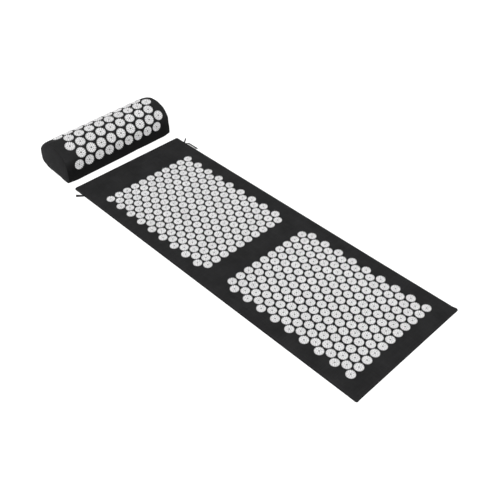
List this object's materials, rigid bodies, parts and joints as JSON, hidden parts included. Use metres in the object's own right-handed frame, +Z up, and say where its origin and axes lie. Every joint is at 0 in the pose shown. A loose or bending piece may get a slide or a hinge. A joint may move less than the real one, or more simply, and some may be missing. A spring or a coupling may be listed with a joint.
{
  "type": "acupressure mat",
  "caption": "Flat foam mat in a black zipped cotton cover with staggered fields of spiked plastic discs, and a loose half-round neck pillow of the same make.",
  "frame": {"origin": "middle of the mat's underside, on the floor", "axes": "+Z up, +Y along the mat to its head end, where the pillow lies, +X across the mat"},
  "size_m": [0.5249, 1.5492, 0.1295],
  "materials": {
    "black_cotton": "matt black woven cotton",
    "grey_foam": "grey soft foam, hidden in the covers",
    "white_plastic": "off-white moulded plastic, satin",
    "zip_tape": "black woven polyester tape",
    "zip_nylon": "black nylon coil",
    "zip_metal": "black lacquered zinc casting",
    "black_ribbon": "black satin ribbon"
  },
  "bodies": {
    "mat": {"mat_top_cover": "black_cotton", "mat_base_cover": "black_cotton", "mat_foam_core": "grey_foam", "mat_side_label": "black_ribbon", "mat_zip_upper_tape": "zip_tape", "mat_zip_lower_tape": "zip_tape", "mat_zip_chain": "zip_nylon", "mat_disc_01": "white_plastic", "mat_disc_02": "white_plastic", "mat_disc_03": "white_plastic", "mat_disc_04": "white_plastic", "mat_disc_05": "white_plastic", "mat_disc_06": "white_plastic", "mat_disc_07": "white_plastic", "mat_disc_08": "white_plastic", "mat_disc_09": "white_plastic", "mat_disc_10": "white_plastic", "mat_disc_11": "white_plastic"},
    "mat_slider_left": {"mat_zip_slider_left": "zip_metal"},
    "mat_slider_right": {"mat_zip_slider_right": "zip_metal"},
    "mat_pull_left": {"mat_zip_pull_left": "zip_metal"},
    "mat_pull_right": {"mat_zip_pull_right": "zip_metal"},
    "pillow": {"pillow_top_cover": "black_cotton", "pillow_base_cover": "black_cotton", "pillow_end_left": "black_cotton", "pillow_end_right": "black_cotton", "pillow_foam_core": "grey_foam", "pillow_zip_upper_tape": "zip_tape", "pillow_zip_lower_tape": "zip_tape", "pillow_zip_chain": "zip_nylon", "pillow_disc_01": "white_plastic", "pillow_disc_02": "white_plastic", "pillow_disc_03": "white_plastic", "pillow_disc_04": "white_plastic", "pillow_disc_05": "white_plastic", "pillow_disc_06": "white_plastic", "pillow_disc_07": "white_plastic", "pillow_disc_08": "white_plastic", "pillow_disc_09": "white_plastic"},
    "pillow_slider": {"pillow_zip_slider": "zip_metal"},
    "pillow_pull": {"pillow_zip_pull": "zip_metal"}
  },
  "joints": [
    {"name": "left_slider_travel", "type": "slide", "parent": "mat", "child": "mat_slider_left", "axis": [0, 1, 0], "range_m": [0, 0.035]},
    {"name": "right_slider_travel", "type": "slide", "parent": "mat", "child": "mat_slider_right", "axis": [0, 1, 0], "range_m": [0, 0.023]},
    {"name": "left_pull_swing", "type": "hinge", "parent": "mat_slider_left", "child": "mat_pull_left", "pos_m": [-0.2441, 0.59825, 0.0075], "axis": [0, 0, 1], "range_deg": [-42, 128]},
    {"name": "right_pull_swing", "type": "hinge", "parent": "mat_slider_right", "child": "mat_pull_right", "pos_m": [0.2441, 0.61025, 0.0075], "axis": [0, 0, 1], "range_deg": [-48, 47]},
    {"name": "pillow_lift", "type": "slide", "parent": "mat", "child": "pillow", "axis": [0, 0, 1], "range_m": [0, 0.3]},
    {"name": "pillow_slider_travel", "type": "slide", "parent": "pillow", "child": "pillow_slider", "axis": [-0.9998, -0.0174, 0], "range_m": [0, 0.405]},
    {"name": "pillow_pull_swing", "type": "hinge", "parent": "pillow_slider", "child": "pillow_pull", "pos_m": [0.21223, 0.87613, 0.015], "axis": [0, 0, 1], "range_deg": [-97, 73]}
  ]
}
